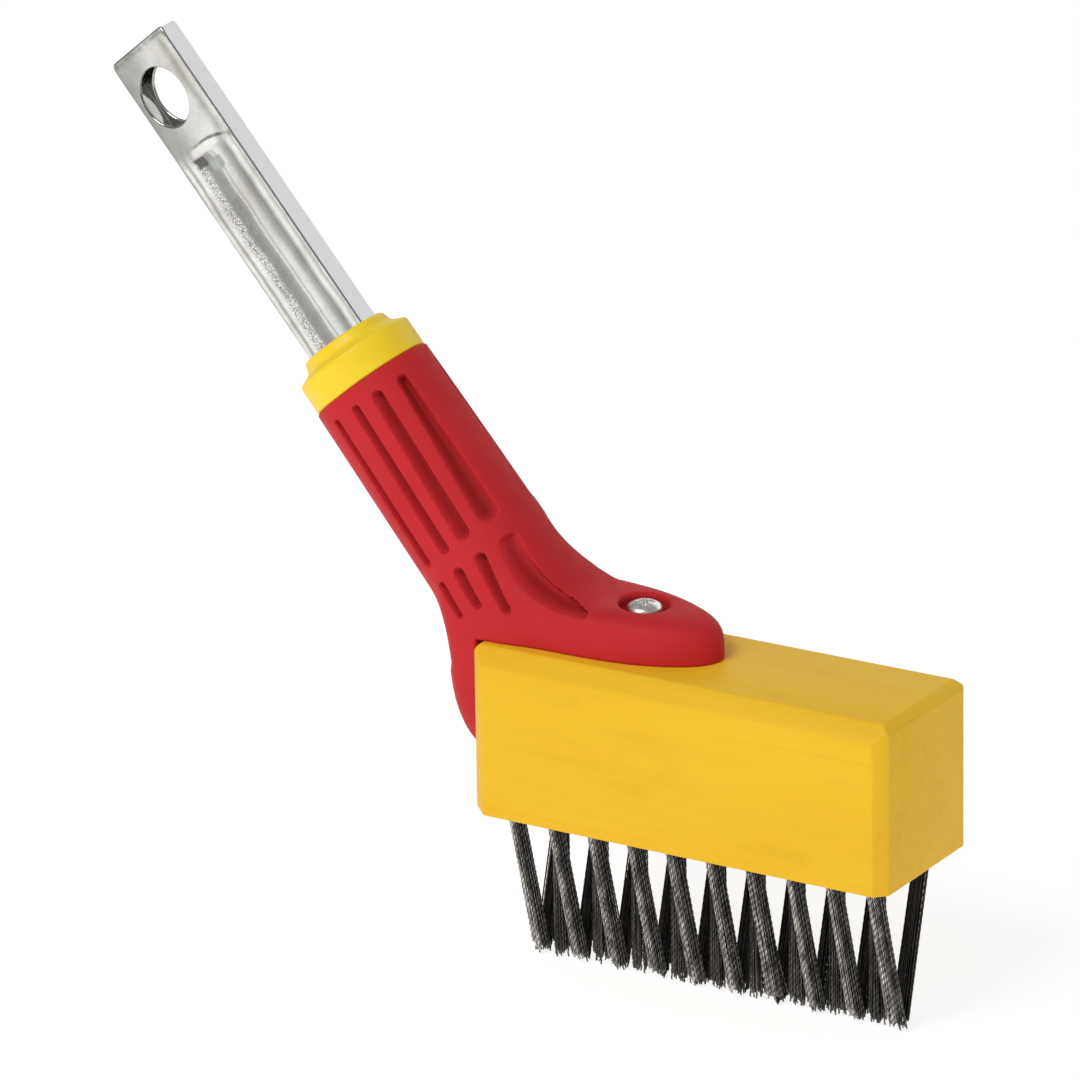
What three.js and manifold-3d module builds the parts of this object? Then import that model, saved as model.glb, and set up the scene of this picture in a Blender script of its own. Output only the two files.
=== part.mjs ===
// Wire brush head for a push-in handle: a painted wooden block with three rows of crimped steel
// wire tufts, a moulded socket screwed over one upper corner of the block, a collar, and a pressed
// steel tang. Millimetres, +Z up. The block runs along X with the socket at its -X end, and the
// part is symmetrical about the plane y = 0 except for the groove on the tang's -Y face.
// The origin is on the floor under the middle of the whole part, which stands on its wire tips.
import * as THREE from "three";
import { mergeVertices } from "three/addons/utils/BufferGeometryUtils.js";
import Module from "manifold-3d";

const wasm = await Module();
wasm.setup();

// ---- driving dimensions, mm ----
const CLEARANCE = 0.3; // gap kept between pieces that touch
const SLIVER = 0.01; // detail smaller than this is smoothed away after a cut
const PIERCE = 5; // how far a cutter runs past the face it cuts

const BLOCK = { length: 150, width: 55, height: 55.7, underside: 55 };
const LONG_EDGE_CHAMFER = 5.3; // upper edges along the block
const END_EDGE_CHAMFER = 2.8; // upper edges across the block
const NEAR_CORNER_CHAMFER = 4.0; // vertical edges at the free end
const SOCKET_CORNER_CHAMFER = 5.9; // vertical edges at the socket's end

const TUFT = { rootRadius: 2.6, tipHalfX: 3.1, tipHalfY: 1.7, holeDepth: 13, sides: 12 };
const TUFT_PITCH = 14.35;
const TUFT_ROWS = [
  { name: "front", count: 10, side: -1 },
  { name: "middle", count: 9, side: 0 },
  { name: "rear", count: 10, side: 1 },
];
const ROW_OFFSET = 15.8; // of the outer rows' holes from the centre line
const TUFT_GROOVE = 0.84; // depth of the hollows between a bundle's wires, as a share of its radius
const TIP_RAGGEDNESS = 2.2; // how much shorter the shortest wires are

const AXIS_ELEVATION = THREE.MathUtils.degToRad(49.9); // of the socket, collar and tang
const AXIS_FOOT_INSET = 10.9; // from the block's end to where that axis meets the block's top

const SOCKET_RIM = 93.8; // distances along the axis, from where it meets the block's top
const SOCKET = { rimRadius: 20.5, rootRadius: 21.6, rootAt: 30, footRadius: 16.5, footAt: 13, sides: 40 };
const TONGUE = { reach: 77, halfWidth: 19, taperStart: 30, screwInset: 49.5 };
const FLANGE = { reach: 44.7, halfWidth: 19, taperStart: 7.7, screwInset: 17.7 };
const LUG_ROUNDNESS = { root: 3.0, tip: 5.0 }; // of the tongue's and the flange's sections
const LUG_STEPS = 22;
const LUG_TIP_SHARE = 0.063; // half-width left at a lug's very tip
const COUNTERBORE = { radius: 8, floor: 11.2, reach: 30 };

const FLUTE = { halfWidth: 1.7, depth: 2.3 };
const UPPER_FLUTE_SPAN = { start: 5.1, end: 60.2 }; // measured down from the rim
const UPPER_FLUTES = [ // angle in degrees from the -Y side towards the socket's back
  { angle: 57, endHalf: 3.4 }, // widens towards the cross rib
  { angle: 29, endHalf: 2.3 },
  { angle: 6.5, endHalf: FLUTE.halfWidth },
  { angle: -19, endHalf: FLUTE.halfWidth },
];
const LOWER_FLUTE_START = 65.2;
const LOWER_FLUTES = [
  { angle: 25, length: 21, half: 1.8 },
  { angle: 2, length: 14.8, half: 1.8 },
  { angle: -20.7, length: 13, half: 1.4 },
];
const BENT_FLUTE_RADIUS = 3.2;

const COLLAR = { radius: 20.1, height: 10.5, neckRadius: 15.7, lipRadius: 14.4, lipTop: 15.9 };
const COLLAR_SHOULDER_RISE = 1.6;
const COLLAR_EDGE = 0.8; // chamfer at the ring's and the lip's upper edges
const COLLAR_SPIGOT = { radius: 16.4, depth: 12 };

const TANG = { width: 25.3, thickness: 9, wall: 1.3, corner: 1.6, inserted: 52, exposed: 129 };
const TANG_GROOVE = { halfWidth: 7.9, depth: 2.4, start: 38.8 };
const TANG_HOLE = { halfWidth: 8.4, halfLength: 10.1, fromTip: 18.4, offset: -1.7 };

const SCREW = { headRadius: 5.8, headHeight: 4, shankRadius: 2.3, length: 32 };
const RECESS = { width: 1.2, span: 6.2, depth: 2 };

// ---- places worked out from them ----
const axisDirection = new THREE.Vector3(-Math.cos(AXIS_ELEVATION), 0, Math.sin(AXIS_ELEVATION));
const axisNormal = new THREE.Vector3(Math.sin(AXIS_ELEVATION), 0, Math.cos(AXIS_ELEVATION));
const footInset = AXIS_FOOT_INSET - BLOCK.length / 2;
const tangTip = SOCKET_RIM + TANG.exposed;
const tangTipX = footInset + tangTip * axisDirection.x - (TANG.width / 2) * axisNormal.x;
const blockX = -(tangTipX + BLOCK.length / 2) / 2;
const blockTop = BLOCK.underside + BLOCK.height;
const socketEndX = blockX - BLOCK.length / 2;
const axisFoot = new THREE.Vector3(blockX + footInset, 0, blockTop);

// ---- materials ----
const finishes = {
  paintedWood: { color: 0xf2bf30, roughness: 0.5, metalness: 0 },
  redPlastic: { color: 0xcb3236, roughness: 0.42, metalness: 0 },
  yellowPlastic: { color: 0xf9d030, roughness: 0.4, metalness: 0 },
  platedSteel: { color: 0xc4c6c8, roughness: 0.22, metalness: 1 },
  bristleSteel: { color: 0x4c4946, roughness: 0.45, metalness: 1 },
};

function material(name) {
  return new THREE.MeshStandardMaterial(finishes[name]);
}

// ---- solids ----
function solidOf(geometry) {
  const bare = geometry.clone();
  bare.deleteAttribute("normal");
  bare.deleteAttribute("uv");
  const merged = mergeVertices(bare, 1e-4);
  return new wasm.Manifold(new wasm.Mesh({
    numProp: 3,
    vertProperties: Float32Array.from(merged.attributes.position.array),
    triVerts: Uint32Array.from(merged.index.array),
  }));
}

function geometryOf(solid) {
  const mesh = solid.setTolerance(SLIVER).getMesh();
  const geometry = new THREE.BufferGeometry();
  geometry.setAttribute("position", new THREE.BufferAttribute(mesh.vertProperties, 3));
  geometry.setIndex(new THREE.BufferAttribute(mesh.triVerts, 1));
  geometry.computeVertexNormals();
  return geometry;
}

function cut(solid, cutters) {
  return cutters.reduce((rest, cutter) => rest.subtract(cutter), solid);
}

function piece(name, finish, geometry) {
  const mesh = new THREE.Mesh(geometry, material(finish));
  mesh.name = name;
  return mesh;
}

// Skin over a row of closed rings. A ring has a centre, two half-widths along its own axes and a
// roundness: 2 gives an ellipse, more gives a boxier outline. Its axes a and b and the direction
// in which the rings follow one another form a right-handed set, in the order step, a, b.
function loft(rings, sides) {
  const steps = rings.length - 1;
  const geometry = new THREE.CylinderGeometry(1, 1, 1, sides, steps);
  const position = geometry.attributes.position;
  for (let i = 0; i < position.count; i += 1) {
    const ring = rings[Math.round((0.5 - position.getY(i)) * steps)];
    const isCentre = Math.hypot(position.getX(i), position.getZ(i)) < 0.5;
    const angle = Math.atan2(position.getX(i), position.getZ(i));
    const point = ring.centre.clone();
    if (!isCentre) point.add(ring.at(angle));
    position.setXYZ(i, point.x, point.y, point.z);
  }
  return geometry;
}

function superellipse(centre, a, b, halfA, halfB, roundness = 2) {
  const power = 2 / roundness;
  const swell = (value) => Math.sign(value) * Math.abs(value) ** power;
  const at = (angle) => a.clone().multiplyScalar(halfA * swell(Math.sin(angle)))
    .addScaledVector(b, halfB * swell(Math.cos(angle)));
  return { centre, at };
}

// A frame whose +Z runs up the socket's axis and +X is the side that faces away from the floor.
function alongAxis(distance) {
  const frame = new THREE.Matrix4().makeRotationY(AXIS_ELEVATION - Math.PI / 2);
  const place = axisFoot.clone().addScaledVector(axisDirection, distance);
  return frame.setPosition(place);
}

function onAxis(geometry, distance) {
  return geometry.applyMatrix4(alongAxis(distance));
}

// Turned piece about the socket's axis, from [radius, height] points that start and end on it.
function turned(profile, sides) {
  const points = profile.map(([radius, height]) => new THREE.Vector2(radius, height));
  return new THREE.LatheGeometry(points, sides).rotateX(Math.PI / 2);
}

function extruded(shape, depth, curveSegments = 6) {
  return new THREE.ExtrudeGeometry(shape, { depth, bevelEnabled: false, curveSegments });
}

function polygon(points) {
  return new THREE.Shape(points.map(([x, y]) => new THREE.Vector2(x, y)));
}

// ---- wooden block ----
function blockOutline() {
  const half = { x: BLOCK.length / 2, y: BLOCK.width / 2 };
  const near = NEAR_CORNER_CHAMFER;
  const far = SOCKET_CORNER_CHAMFER;
  return polygon([
    [half.x, -half.y + near],
    [half.x, half.y - near],
    [half.x - near, half.y],
    [-half.x + far, half.y],
    [-half.x, half.y - far],
    [-half.x, -half.y + far],
    [-half.x + far, -half.y],
    [half.x - near, -half.y],
  ]);
}

// Prism that trims one upper edge of the block; its section lies in X and Y before it is turned.
function edgeTrimmer(halfSpan, chamfer, length) {
  const shape = polygon([
    [halfSpan - chamfer, BLOCK.height],
    [halfSpan + PIERCE, BLOCK.height - chamfer - PIERCE],
    [halfSpan + PIERCE, BLOCK.height + PIERCE],
    [halfSpan - chamfer - PIERCE, BLOCK.height + PIERCE],
  ]);
  return extruded(shape, length).translate(0, 0, -length / 2).rotateX(Math.PI / 2);
}

function blockBlank() {
  const blank = extruded(blockOutline(), BLOCK.height);
  const acrossLength = BLOCK.width + 2 * PIERCE;
  const alongLength = BLOCK.length + 2 * PIERCE;
  const endTrims = [0, Math.PI].map((turn) => edgeTrimmer(
    BLOCK.length / 2, END_EDGE_CHAMFER, acrossLength).rotateZ(turn));
  const sideTrims = [0.5, 1.5].map((turns) => edgeTrimmer(
    BLOCK.width / 2, LONG_EDGE_CHAMFER, alongLength).rotateZ(turns * Math.PI));
  const toPlace = (geometry) => solidOf(geometry.translate(blockX, 0, BLOCK.underside));
  return cut(toPlace(blank), [...endTrims, ...sideTrims].map(toPlace));
}

// ---- wire tufts ----
// Every tuft leaves its hole at the underside and ends on the floor, next to the centre line.
function tuftRows() {
  return TUFT_ROWS.flatMap(({ name, count, side }) => Array.from({ length: count }, (_, i) => ({
    name: `${name}_tuft_${String(i + 1).padStart(2, "0")}`,
    x: blockX + (i - (count - 1) / 2) * TUFT_PITCH,
    rootY: side * ROW_OFFSET,
    tipY: side * (TUFT.tipHalfY + CLEARANCE / 2),
    seed: i + 3 * (side + 1),
  })));
}

function tuftCentre(tuft, z) {
  const share = z / BLOCK.underside;
  return new THREE.Vector3(tuft.x, THREE.MathUtils.lerp(tuft.tipY, tuft.rootY, share), z);
}

function tuftGeometry(tuft) {
  const down = { a: new THREE.Vector3(1, 0, 0), b: new THREE.Vector3(0, -1, 0) };
  const top = BLOCK.underside + TUFT.holeDepth - CLEARANCE;
  const root = TUFT.rootRadius;
  const ring = (z, halfX, halfY, ragged) => {
    const plain = superellipse(tuftCentre(tuft, z), down.a, down.b, halfX, halfY);
    const at = (angle) => {
      const wire = Math.round((angle / (2 * Math.PI)) * TUFT.sides + TUFT.sides);
      const inHollow = wire % 2 === 1;
      const point = plain.at(angle).multiplyScalar(inHollow ? TUFT_GROOVE : 1);
      const shortening = ((wire * 5 + tuft.seed * 3) % 7) / 6;
      if (ragged && inHollow) point.z += TIP_RAGGEDNESS * shortening;
      return point;
    };
    return { centre: plain.centre, at };
  };
  return loft([
    ring(top, root, root, false),
    ring(BLOCK.underside - 1, root, root, false),
    ring(BLOCK.underside / 3, (root + TUFT.tipHalfX) / 2, (root + TUFT.tipHalfY) / 2, false),
    ring(0, TUFT.tipHalfX, TUFT.tipHalfY, true),
  ], TUFT.sides);
}

function tuftHole(tuft) {
  const from = tuftCentre(tuft, BLOCK.underside - PIERCE);
  const to = tuftCentre(tuft, BLOCK.underside + TUFT.holeDepth);
  const radius = TUFT.rootRadius + CLEARANCE;
  const up = { a: new THREE.Vector3(1, 0, 0), b: new THREE.Vector3(0, 1, 0) };
  return loft([from, to].map((centre) => superellipse(centre, up.a, up.b, radius, radius)), TUFT.sides);
}

// ---- screws ----
// Pan head screw with a cross recess. Its frame has the head's seat at 0 and the head towards +Z.
function screwGeometry() {
  const { headRadius, headHeight, shankRadius, length } = SCREW;
  const profile = [
    [0, -length],
    [shankRadius, -length + 2 * shankRadius],
    [shankRadius, 0],
    [headRadius, 0],
    [headRadius, headHeight * 0.3],
    [headRadius * 0.86, headHeight * 0.7],
    [headRadius * 0.5, headHeight * 0.95],
    [0, headHeight],
  ];
  const arm = new THREE.BoxGeometry(RECESS.span, RECESS.width, 2 * RECESS.depth);
  const bars = [0, 1].map((turn) => arm.clone().rotateZ(turn * Math.PI / 2)
    .translate(0, 0, headHeight));
  return geometryOf(cut(solidOf(turned(profile, 24)), bars.map(solidOf)));
}

const SCREW_PLACES = {
  top_screw: new THREE.Matrix4().setPosition(
    socketEndX + TONGUE.screwInset, 0, blockTop + COUNTERBORE.floor + CLEARANCE),
  end_screw: new THREE.Matrix4().makeRotationY(-Math.PI / 2).setPosition(
    socketEndX - COUNTERBORE.floor - CLEARANCE, 0, blockTop - FLANGE.screwInset),
};

// Shank hole, and with it a wider bore from the head's seat outwards when one is wanted.
function screwCutters(place, withCounterbore) {
  const shank = new THREE.CylinderGeometry(
    SCREW.shankRadius + CLEARANCE, SCREW.shankRadius + CLEARANCE, SCREW.length + 1, 16);
  const cutters = [shank.rotateX(Math.PI / 2).translate(0, 0, -SCREW.length / 2)];
  if (withCounterbore) {
    const { radius, reach } = COUNTERBORE;
    const bore = new THREE.CylinderGeometry(radius, radius, reach, 32);
    cutters.push(bore.rotateX(Math.PI / 2).translate(0, 0, reach / 2 - CLEARANCE));
  }
  return cutters.map((geometry) => solidOf(geometry.applyMatrix4(place)));
}

// ---- socket ----
function socketTube() {
  const rings = [
    { at: SOCKET_RIM, half: SOCKET.rimRadius },
    { at: SOCKET.rootAt, half: SOCKET.rootRadius },
    { at: SOCKET.footAt, half: SOCKET.footRadius },
  ];
  const a = new THREE.Vector3(0, 1, 0);
  const b = axisDirection.clone().negate().cross(a);
  return solidOf(loft(rings.map(({ at, half }) => superellipse(
    axisFoot.clone().addScaledVector(axisDirection, at), a, b, half, half)), SOCKET.sides));
}

// Rings of a rounded lug that lies on a block face, from the block's corner to the lug's tip.
// profile holds [distance from the corner, thickness at the centre line].
function lugRings(lug, profile, placeOf, across, outward) {
  const heights = new THREE.SplineCurve(profile.map(([x, y]) => new THREE.Vector2(x, y)));
  return Array.from({ length: LUG_STEPS + 1 }, (_, i) => {
    const { x: distance, y: height } = heights.getPoint(i / LUG_STEPS);
    const taper = Math.max(0, (distance - lug.taperStart) / (lug.reach - lug.taperStart));
    const halfWidth = lug.halfWidth * Math.max(Math.sqrt(1 - taper * taper), LUG_TIP_SHARE);
    const roundness = THREE.MathUtils.lerp(LUG_ROUNDNESS.root, LUG_ROUNDNESS.tip, taper);
    return superellipse(placeOf(distance), across, outward, halfWidth, height, roundness);
  });
}

function tongue() {
  const profile = [[0, 37], [8, 34], [14, 29], [21, 23.4], [31, 18.8], [43, 16.6], [55, 15.1],
    [66, 13.3], [72, 11.5], [75.5, 9], [TONGUE.reach, 5]];
  const placeOf = (distance) => new THREE.Vector3(socketEndX + distance, 0, blockTop);
  const rings = lugRings(TONGUE, profile, placeOf, new THREE.Vector3(0, 1, 0),
    new THREE.Vector3(0, 0, 1));
  return solidOf(loft(rings, SOCKET.sides));
}

function endFlange() {
  const profile = [[-14, 24], [-6, 21], [0, 18.6], [7, 16.6], [14, 15.6], [22, 14.6], [29, 12.6],
    [35, 9.4], [40, 6], [FLANGE.reach, 2]];
  const placeOf = (distance) => new THREE.Vector3(socketEndX, 0, blockTop - distance);
  const rings = lugRings(FLANGE, profile, placeOf, new THREE.Vector3(0, -1, 0),
    new THREE.Vector3(-1, 0, 0));
  return solidOf(loft(rings, SOCKET.sides));
}

// Recess with round ends, cut radially into the socket at an angle from -Y towards +X.
// It runs from start to end, measured down from the rim, and its ends have their own half-widths.
function fluteCutter(angle, start, end, startHalf, endHalf) {
  const shape = new THREE.Shape();
  shape.absarc(0, -start - startHalf, startHalf, 0, Math.PI, false);
  shape.absarc(0, -end + endHalf, endHalf, Math.PI, 2 * Math.PI, false);
  const radiusAt = THREE.MathUtils.lerp(SOCKET.rimRadius, SOCKET.rootRadius,
    (start + end) / 2 / (SOCKET_RIM - SOCKET.rootAt));
  const cutter = extruded(shape, FLUTE.depth + PIERCE, 5)
    .translate(0, 0, radiusAt - FLUTE.depth)
    .rotateX(Math.PI / 2)
    .rotateZ(angle);
  return onAxis(cutter, SOCKET_RIM);
}

// The uppermost lower flute bends with the socket's back towards the tongue.
function bentFluteCutter() {
  const side = (x, y, z) => new THREE.Vector3(socketEndX + x, y, blockTop + z);
  const path = new THREE.CatmullRomCurve3([
    side(7, -15.2, 32.4), side(14, -16.8, 24.8), side(23, -17.8, 18.6), side(36, -17.8, 12.9)]);
  const shape = new THREE.Shape().absarc(0, 0, BENT_FLUTE_RADIUS, 0, 2 * Math.PI, false);
  return new THREE.ExtrudeGeometry(shape, { steps: 8, extrudePath: path, curveSegments: 5 });
}

function fluteCutters() {
  const upper = UPPER_FLUTES.map(({ angle, endHalf }) => fluteCutter(
    THREE.MathUtils.degToRad(angle), UPPER_FLUTE_SPAN.start, UPPER_FLUTE_SPAN.end,
    FLUTE.halfWidth, endHalf));
  const lower = LOWER_FLUTES.map(({ angle, length, half }) => fluteCutter(
    THREE.MathUtils.degToRad(angle), LOWER_FLUTE_START, LOWER_FLUTE_START + length, half, half));
  const oneSide = [...upper, ...lower, bentFluteCutter()].map(solidOf);
  const otherSide = oneSide.map((cutter) => cutter.mirror([0, 1, 0]));
  return [...oneSide, ...otherSide];
}

// Mouth for the collar's spigot and, below it, the flat pocket that grips the tang.
function socketPocket() {
  const radius = COLLAR_SPIGOT.radius + CLEARANCE;
  const depth = COLLAR_SPIGOT.depth + CLEARANCE;
  const mouth = turned([[0, -depth], [radius, -depth], [radius, PIERCE], [0, PIERCE]], SOCKET.sides);
  const pocketDepth = TANG.inserted + CLEARANCE;
  const pocket = extruded(roundedSection(CLEARANCE), pocketDepth + PIERCE)
    .translate(0, 0, -pocketDepth);
  return [mouth, pocket].map((geometry) => solidOf(onAxis(geometry, SOCKET_RIM)));
}

function blockEnvelope() {
  const size = [BLOCK.length, BLOCK.width, BLOCK.height].map((side) => side + 2 * CLEARANCE);
  const box = new THREE.BoxGeometry(...size);
  return solidOf(box.translate(blockX, 0, BLOCK.underside + BLOCK.height / 2));
}

function socketGeometry() {
  const body = socketTube().add(tongue()).add(endFlange());
  const screwHoles = Object.values(SCREW_PLACES).flatMap((place) => screwCutters(place, true));
  return geometryOf(cut(body, [
    blockEnvelope(), ...socketPocket(), ...fluteCutters(), ...screwHoles]));
}

// ---- collar ----
function collarGeometry() {
  const { radius, height, neckRadius, lipRadius, lipTop } = COLLAR;
  const profile = [
    [0, -COLLAR_SPIGOT.depth],
    [COLLAR_SPIGOT.radius, -COLLAR_SPIGOT.depth],
    [COLLAR_SPIGOT.radius, CLEARANCE],
    [radius, CLEARANCE],
    [radius, height - COLLAR_EDGE],
    [radius - COLLAR_EDGE, height],
    [neckRadius, height + COLLAR_SHOULDER_RISE],
    [lipRadius, lipTop - COLLAR_EDGE],
    [lipRadius - COLLAR_EDGE, lipTop],
    [0, lipTop],
  ];
  const slotLength = COLLAR_SPIGOT.depth + lipTop + 2 * PIERCE;
  const slot = extruded(roundedSection(CLEARANCE), slotLength)
    .translate(0, 0, -COLLAR_SPIGOT.depth - PIERCE);
  const body = solidOf(onAxis(turned(profile, SOCKET.sides), SOCKET_RIM));
  return geometryOf(cut(body, [solidOf(onAxis(slot, SOCKET_RIM))]));
}

// ---- tang ----
// Rounded oblong across the tang; grow moves the whole outline outwards.
function roundedSection(grow) {
  const half = { x: TANG.width / 2 + grow, y: TANG.thickness / 2 + grow };
  const corner = Math.max(TANG.corner + grow, 0.3);
  const shape = new THREE.Shape();
  const centre = { x: half.x - corner, y: half.y - corner };
  shape.absarc(centre.x, centre.y, corner, 0, Math.PI / 2, false);
  shape.absarc(-centre.x, centre.y, corner, Math.PI / 2, Math.PI, false);
  shape.absarc(-centre.x, -centre.y, corner, Math.PI, 1.5 * Math.PI, false);
  shape.absarc(centre.x, -centre.y, corner, 1.5 * Math.PI, 2 * Math.PI, false);
  return shape;
}

// Hollow of the pressed groove on the -Y face; grow moves its walls into the tang.
function grooveCutter(grow, past) {
  const { halfWidth, depth, start } = TANG_GROOVE;
  const face = -TANG.thickness / 2;
  const slope = depth / halfWidth;
  const spread = halfWidth + PIERCE / slope + grow * Math.hypot(1, 1 / slope);
  const shape = polygon([
    [-spread, face - PIERCE],
    [spread, face - PIERCE],
    [0, face + depth + grow * Math.hypot(1, slope)],
  ]);
  const length = TANG.exposed + TANG.inserted - start + grow + past;
  return solidOf(onAxis(extruded(shape, length), SOCKET_RIM - TANG.inserted - past));
}

function tangGeometry() {
  const length = TANG.exposed + TANG.inserted;
  const base = SOCKET_RIM - TANG.inserted;
  const outer = solidOf(onAxis(extruded(roundedSection(0), length), base));
  const inner = solidOf(onAxis(extruded(roundedSection(-TANG.wall), length + 2 * PIERCE), base - PIERCE));
  const shell = outer.subtract(grooveCutter(0, PIERCE));
  const hollow = inner.subtract(grooveCutter(TANG.wall, 2 * PIERCE));
  const oval = new THREE.Shape().absellipse(TANG_HOLE.offset, 0,
    TANG_HOLE.halfWidth, TANG_HOLE.halfLength, 0, 2 * Math.PI, false);
  const throughLength = TANG.thickness + 2 * PIERCE;
  const hole = extruded(oval, throughLength, 14).translate(0, 0, -throughLength / 2).rotateX(Math.PI / 2);
  return geometryOf(cut(shell, [hollow, solidOf(onAxis(hole, tangTip - TANG_HOLE.fromTip))]));
}

// ---- assembly ----
function blockGeometry(tufts) {
  const pilotHoles = Object.values(SCREW_PLACES).flatMap((place) => screwCutters(place, false));
  return geometryOf(cut(blockBlank(), [
    ...tufts.map((tuft) => solidOf(tuftHole(tuft))), ...pilotHoles]));
}

function assemble() {
  const brush = new THREE.Group();
  const tufts = tuftRows();
  brush.add(piece("wooden_block", "paintedWood", blockGeometry(tufts)));
  for (const tuft of tufts) {
    brush.add(piece(tuft.name, "bristleSteel", tuftGeometry(tuft)));
  }
  brush.add(piece("handle_socket", "redPlastic", socketGeometry()));
  brush.add(piece("socket_collar", "yellowPlastic", collarGeometry()));
  brush.add(piece("steel_tang", "platedSteel", tangGeometry()));
  for (const [name, place] of Object.entries(SCREW_PLACES)) {
    brush.add(piece(name, "platedSteel", screwGeometry().applyMatrix4(place)));
  }
  return brush;
}

export default assemble();
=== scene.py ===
"""Looks for the wire brush head: smooth moulded and pressed pieces, single crimped wires, materials.

Lengths are millimetres in the CAD part's frame until a mesh is made; MM turns them into metres.
"""

import math

import bmesh
import bpy
import mathutils
import numpy as np
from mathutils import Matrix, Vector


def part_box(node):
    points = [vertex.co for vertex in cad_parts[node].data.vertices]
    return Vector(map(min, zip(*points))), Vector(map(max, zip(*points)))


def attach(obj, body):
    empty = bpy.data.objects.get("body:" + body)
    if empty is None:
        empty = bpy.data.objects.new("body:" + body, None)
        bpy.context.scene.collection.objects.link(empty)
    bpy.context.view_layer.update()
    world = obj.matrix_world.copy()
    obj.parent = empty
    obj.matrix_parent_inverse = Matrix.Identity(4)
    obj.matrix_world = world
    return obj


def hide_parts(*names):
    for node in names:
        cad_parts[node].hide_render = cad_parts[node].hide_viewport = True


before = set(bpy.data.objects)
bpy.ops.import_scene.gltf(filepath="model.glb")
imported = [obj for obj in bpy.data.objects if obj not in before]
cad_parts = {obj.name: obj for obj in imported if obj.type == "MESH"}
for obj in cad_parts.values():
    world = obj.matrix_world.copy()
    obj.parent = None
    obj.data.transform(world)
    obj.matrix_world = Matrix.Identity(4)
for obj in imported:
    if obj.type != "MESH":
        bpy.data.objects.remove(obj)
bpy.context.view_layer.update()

MM = 0.001

# ---- driving dimensions, the same as the CAD part's ----
BLOCK_LENGTH, BLOCK_WIDTH, BLOCK_HEIGHT = 150.0, 55.0, 55.7
LONG_EDGE_CHAMFER = 5.3
END_EDGE_CHAMFER = 2.8
NEAR_CORNER_CHAMFER = 4.0
SOCKET_CORNER_CHAMFER = 5.9
TUFT_PITCH = 14.35
OUTER_COUNT, MIDDLE_COUNT = 10, 9
OUTER_OFFSET = 15.8
TUFT_RADIUS = 2.75
AXIS_ELEVATION = math.radians(49.9)
AXIS_FOOT_INSET = 10.9
SOCKET_RIM = 93.8
RIM_RADIUS, ROOT_RADIUS, ROOT_AT = 20.5, 21.6, 30.0
LUG_HALF_WIDTH = 19.0
TONGUE_SIZES = (77.0, LUG_HALF_WIDTH, 30.0)  # reach, half-width, where it starts to taper
FLANGE_SIZES = (44.7, LUG_HALF_WIDTH, 7.7)
TOP_SCREW_INSET, END_SCREW_INSET = 49.5, 17.7
BORE_RADIUS, BORE_FLOOR = 8.0, 11.2
COLLAR_RADIUS, COLLAR_HEIGHT = 20.1, 10.5
NECK_RADIUS, LIP_TOP = 15.7, 15.9
SPIGOT_RADIUS, SPIGOT_DEPTH = 16.4, 12.0
TANG_WIDTH, TANG_THICKNESS, TANG_WALL, TANG_CORNER = 25.3, 9.0, 1.3, 1.6
TANG_INSERTED, TANG_EXPOSED = 52.0, 129.0
GROOVE_HALF_WIDTH, GROOVE_DEPTH, GROOVE_START = 7.9, 2.4, 38.8
HOLE_HALF_WIDTH, HOLE_HALF_LENGTH, HOLE_FROM_TIP, HOLE_OFFSET = 8.4, 10.1, 18.4, -1.7
HEAD_RADIUS, HEAD_HEIGHT, SHANK_RADIUS, SCREW_LENGTH = 5.8, 4.0, 2.3, 32.0
CLEARANCE = 0.3

# ---- places, from the frame ----
block_low, block_high = (np.array(corner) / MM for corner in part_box("wooden_block"))
BLOCK_X = (block_low[0] + block_high[0]) / 2
UNDERSIDE, BLOCK_TOP = block_low[2], block_high[2]
SOCKET_END_X = block_low[0]
AXIS = np.array([-math.cos(AXIS_ELEVATION), 0.0, math.sin(AXIS_ELEVATION)])
NORMAL = np.array([math.sin(AXIS_ELEVATION), 0.0, math.cos(AXIS_ELEVATION)])
SIDE = np.array([0.0, 1.0, 0.0])
AXIS_FOOT = np.array([SOCKET_END_X + AXIS_FOOT_INSET, 0.0, BLOCK_TOP])
TANG_TIP = SOCKET_RIM + TANG_EXPOSED


# ---- distance fields: negative inside a shape, lengths in mm ----
RECESS_POWER = 1.25  # shape of a moulded recess across its half-width


def smooth_min(a, b, blend):
    """The smaller of two fields, joined by a fillet about as wide as the blend."""
    h = np.clip(0.5 + 0.5 * (b - a) / blend, 0, 1)
    return b * (1 - h) + a * h - blend * h * (1 - h)


def smooth_max(a, b, blend):
    return -smooth_min(-a, -b, blend)


def rounded_box(x, y, half_x, half_y, corner):
    """Distance to a rectangle with rounded corners, seen along its length."""
    dx, dy = np.abs(x) - half_x + corner, np.abs(y) - half_y + corner
    outside = np.hypot(np.maximum(dx, 0), np.maximum(dy, 0))
    return outside + np.minimum(np.maximum(dx, dy), 0) - corner


def smoothstep(low, high, value):
    t = np.clip((value - low) / (high - low), 0, 1)
    return t * t * (3 - 2 * t)


def hollow_profile(inside, half):
    """0 at the edge of a recess, rising to 1 over its half-width, with a rounded edge and bottom."""
    share = np.clip(inside / half, 0, 1)
    return share ** RECESS_POWER * (1 + RECESS_POWER - RECESS_POWER * share)


# ---- from a distance field to a mesh ----
BLOCK_CELLS, BLOCKS_AT_ONCE = 8, 400
FAR_SHARE, FAR_MARGIN = 0.75, 1.0  # a block this far from the surface, by its size, isn't sampled
SLOPE_NUDGE, LEAST_SLOPE_SQUARED = 0.02, 0.25
CORNERS = [(i, j, k) for i in (0, 1) for j in (0, 1) for k in (0, 1)]


def grid_step(usual, quick):
    return usual


def span(low, high, step):
    """Even places from low to high, no further apart than the step."""
    return np.linspace(low, high, int(math.ceil((high - low) / step)) + 1)


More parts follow.
